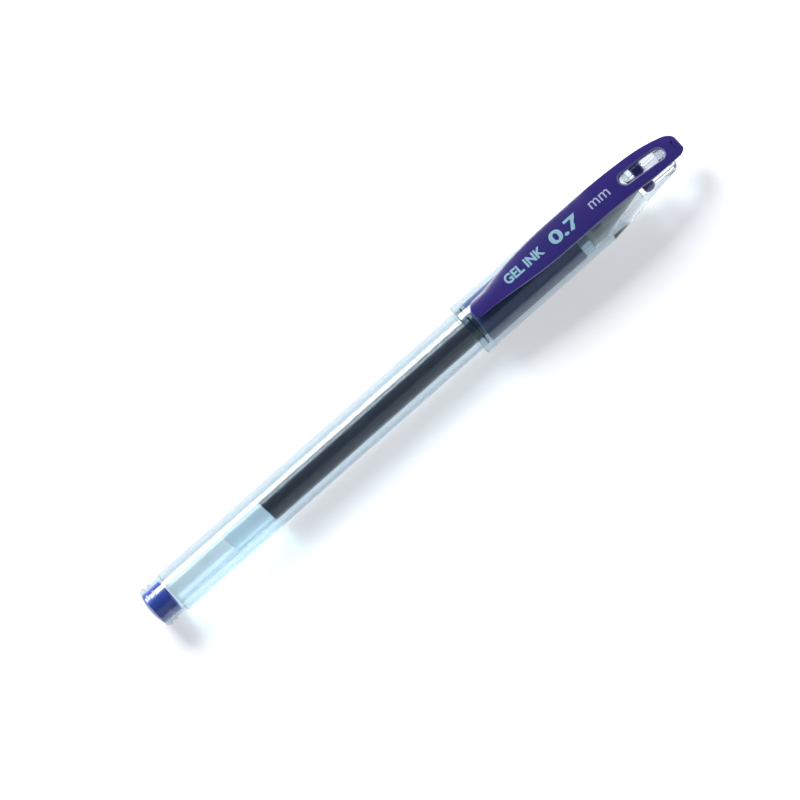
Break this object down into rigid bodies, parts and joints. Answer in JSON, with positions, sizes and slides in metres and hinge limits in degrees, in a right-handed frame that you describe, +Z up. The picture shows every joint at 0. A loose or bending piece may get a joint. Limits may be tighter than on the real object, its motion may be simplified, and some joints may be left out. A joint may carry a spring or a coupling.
{
  "type": "gel pen",
  "caption": "Capped gel pen lying on its side: clear barrel and screw-on nose, refill, rubber grip, clear pull-off cap with a springy clip.",
  "frame": {"origin": "centre of the bounding box in plan, at the height of the lowest point, the underside of the cap's mouth ring", "axes": "+X along the pen from the tail towards the cap's closed end, +Z up through the middle of the clip, +Y across the pen"},
  "size_m": [0.1494, 0.0126, 0.0141],
  "materials": {
    "clear_barrel": "water-clear polystyrene, polished",
    "clear_nose": "water-clear polystyrene, polished",
    "clear_cap": "water-clear polystyrene, polished",
    "plug_blue": "blue polypropylene, semi-gloss",
    "grip_rubber": "dark slate-blue rubber, satin",
    "refill_natural": "milky clear polypropylene",
    "gel_ink": "dark blue gel ink",
    "grease": "clear follower grease",
    "holder_white": "white polypropylene",
    "point_metal": "turned nickel silver",
    "ball_carbide": "lapped carbide",
    "spring_steel": "drawn spring wire",
    "inner_white": "cream-white polyethylene",
    "seal_elastomer": "soft natural elastomer",
    "clip_violet": "deep violet-blue translucent polycarbonate, polished"
  },
  "bodies": {
    "barrel": {"barrel": "clear_barrel", "tail_plug": "plug_blue", "grip_sleeve": "grip_rubber"},
    "refill": {"refill_tube": "refill_natural", "ink_column": "gel_ink", "ink_follower": "grease", "tip_holder": "holder_white", "point_body": "point_metal", "ball_spring": "spring_steel"},
    "ball": {"writing_ball": "ball_carbide"},
    "nose": {"nose_cone": "clear_nose"},
    "cap": {"cap_shell": "clear_cap", "inner_cap": "inner_white", "tip_seal": "seal_elastomer"},
    "clip": {"clip": "clip_violet"}
  },
  "joints": [
    {"name": "refill_draw", "type": "slide", "parent": "barrel", "child": "refill", "axis": [1, 0, 0], "range_m": [0, 0.0045]},
    {"name": "nose_unscrew", "type": "hinge", "parent": "refill", "child": "nose", "pos_m": [0.04435, 0, 0.0063], "axis": [1, 0, 0], "range_deg": [0, 1080]},
    {"name": "ball_roll", "type": "hinge", "parent": "refill", "child": "ball", "pos_m": [0.05825, 0, 0.0063], "axis": [0, 1, 0], "continuous": true},
    {"name": "cap_pull", "type": "slide", "parent": "refill", "child": "cap", "axis": [1, 0, 0], "range_m": [0, 0.046]},
    {"name": "clip_lift", "type": "hinge", "parent": "cap", "child": "clip", "pos_m": [0.06385, 0, 0.0075], "axis": [0, 1, 0], "range_deg": [0, 5], "stiffness_Nm_per_rad": 3}
  ],
  "couplings": [
    {"joint": "nose_unscrew", "follows": "refill_draw", "rad_per_m": 4188.8}
  ]
}
